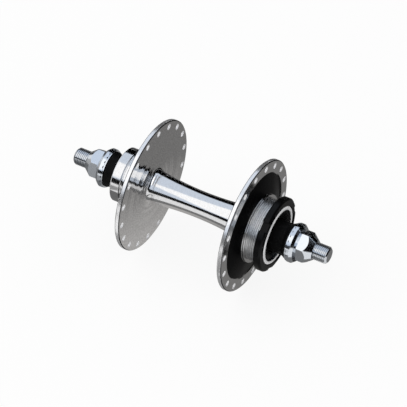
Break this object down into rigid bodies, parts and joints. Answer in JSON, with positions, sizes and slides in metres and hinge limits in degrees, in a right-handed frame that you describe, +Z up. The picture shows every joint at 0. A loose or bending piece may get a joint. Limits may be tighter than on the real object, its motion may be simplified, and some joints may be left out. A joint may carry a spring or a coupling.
{
  "type": "track hub",
  "caption": "Rear track bicycle hub: large drilled flanges on a waisted barrel, threaded boss with lockring, cup-and-cone bearings, and a solid axle with captive-washer track nuts.",
  "frame": {"origin": "middle of the hub on the axle's axis, halfway between the flanges", "axes": "+Y along the axle towards the left end, -Y towards the sprocket's thread, +Z up, +X square to both, forwards on the bicycle"},
  "size_m": [0.0734, 0.151, 0.0734],
  "materials": {
    "polished_aluminium": "forged, turned and polished, clear anodised",
    "black_steel": "black oxide, gloss",
    "axle_steel": "rolled thread, zinc plated",
    "bearing_steel": "hardened and ground",
    "cage_steel": "pressed sheet",
    "black_cap": "black, gloss",
    "black_rubber": "moulded, semi-gloss",
    "plated_steel": "bright plated"
  },
  "bodies": {
    "axle_set": {"axle": "axle_steel", "left_cone": "bearing_steel", "right_cone": "bearing_steel", "left_key_washer": "plated_steel", "right_key_washer": "plated_steel", "left_locknut": "plated_steel", "right_locknut": "plated_steel", "left_seal_boot": "black_rubber", "right_seal_boot": "black_rubber"},
    "shell": {"hub_shell": "polished_aluminium", "left_bearing_cup": "bearing_steel", "right_bearing_cup": "bearing_steel", "left_dust_cap": "black_cap", "right_dust_cap": "black_cap"},
    "lockring": {"lockring": "black_steel"},
    "left_bearing": {"left_balls": "bearing_steel", "left_ball_cage": "cage_steel"},
    "right_bearing": {"right_balls": "bearing_steel", "right_ball_cage": "cage_steel"},
    "left_washer": {"left_nut_washer": "plated_steel"},
    "right_washer": {"right_nut_washer": "plated_steel"},
    "left_nut": {"left_track_nut": "plated_steel"},
    "right_nut": {"right_track_nut": "plated_steel"}
  },
  "joints": [
    {"name": "hub_spin", "type": "hinge", "parent": "axle_set", "child": "shell", "pos_m": [0, 0, 0], "axis": [0, 1, 0], "continuous": true},
    {"name": "lockring_off", "type": "slide", "parent": "shell", "child": "lockring", "axis": [0, -1, 0], "range_m": [0, 0.036]},
    {"name": "left_bearing_turn", "type": "hinge", "parent": "axle_set", "child": "left_bearing", "pos_m": [0, 0.0384, 0], "axis": [0, 1, 0], "continuous": true},
    {"name": "right_bearing_turn", "type": "hinge", "parent": "axle_set", "child": "right_bearing", "pos_m": [0, -0.0384, 0], "axis": [0, 1, 0], "continuous": true},
    {"name": "left_washer_travel", "type": "slide", "parent": "axle_set", "child": "left_washer", "axis": [0, 1, 0], "range_m": [0, 0.02149]},
    {"name": "left_nut_turn", "type": "hinge", "parent": "left_washer", "child": "left_nut", "pos_m": [0, 0.063, 0], "axis": [0, 1, 0], "range_deg": [0, 7920]},
    {"name": "right_washer_travel", "type": "slide", "parent": "axle_set", "child": "right_washer", "axis": [0, -1, 0], "range_m": [0, 0.02149]},
    {"name": "right_nut_turn", "type": "hinge", "parent": "right_washer", "child": "right_nut", "pos_m": [0, -0.063, 0], "axis": [0, -1, 0], "range_deg": [0, 7920]}
  ],
  "couplings": [
    {"joint": "left_bearing_turn", "follows": "hub_spin", "ratio": 0.6169},
    {"joint": "right_bearing_turn", "follows": "hub_spin", "ratio": 0.6169},
    {"joint": "left_nut_turn", "follows": "left_washer_travel", "rad_per_m": 6431.6},
    {"joint": "right_nut_turn", "follows": "right_washer_travel", "rad_per_m": 6431.6}
  ]
}
